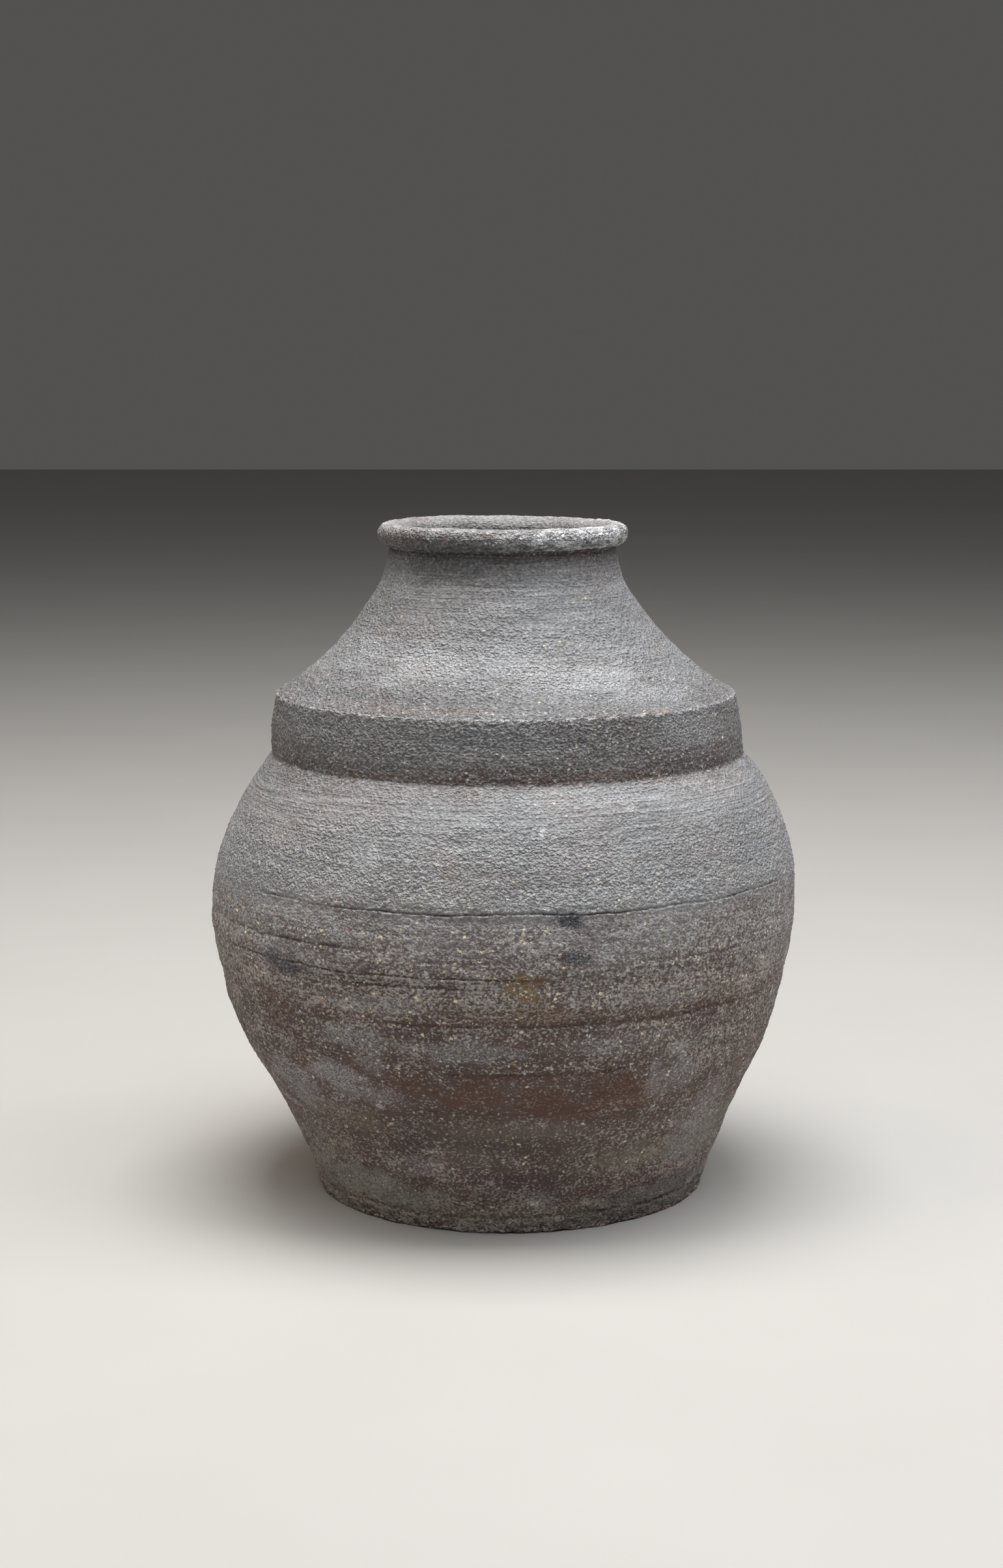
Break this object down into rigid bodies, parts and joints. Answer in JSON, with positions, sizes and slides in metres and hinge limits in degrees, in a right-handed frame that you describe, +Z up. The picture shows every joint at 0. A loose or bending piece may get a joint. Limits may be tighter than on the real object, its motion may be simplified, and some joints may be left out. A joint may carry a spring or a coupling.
{
  "type": "clay pot",
  "caption": "Round black clay pot with a flat base, swelling belly, upright collar band, hollow shoulder, short neck and rolled rim, in its hand-built clay sections.",
  "frame": {"origin": "middle of the flat base, on the surface that the pot stands on", "axes": "+Z up along the pot's axis; the pot is round, so X and Y are free, and the pictured side faces -Y"},
  "size_m": [0.219, 0.219, 0.25],
  "materials": {
    "base_disc": "coarse unglazed fired clay, gritty, worn and earthy at the foot",
    "foot_wall": "coarse unglazed fired clay, dark brown-grey, matt",
    "belly_coil_1": "coarse unglazed fired clay, red-brown patches, matt",
    "belly_coil_2": "coarse unglazed fired clay with pale grit, matt",
    "belly_coil_3": "coarse unglazed fired clay with pale grit, matt",
    "belly_coil_4": "coarse unglazed fired clay with pale grit, matt",
    "upper_belly": "coarse unglazed fired clay, grey with pale bloom, matt",
    "collar_band": "coarse unglazed fired clay, dark grey, matt",
    "shoulder_cone": "unglazed fired clay, wiped smooth, grey with pale bloom, matt",
    "neck_ring": "unglazed fired clay, wiped smooth, dark grey, matt",
    "rim_coil": "unglazed fired clay, rubbed on the crest, slight sheen"
  },
  "bodies": {
    "root": {"base_disc": "base_disc", "foot_wall": "foot_wall", "belly_coil_1": "belly_coil_1", "belly_coil_2": "belly_coil_2", "belly_coil_3": "belly_coil_3", "belly_coil_4": "belly_coil_4", "upper_belly": "upper_belly", "collar_band": "collar_band", "shoulder_cone": "shoulder_cone", "neck_ring": "neck_ring", "rim_coil": "rim_coil"}
  },
  "joints": []
}
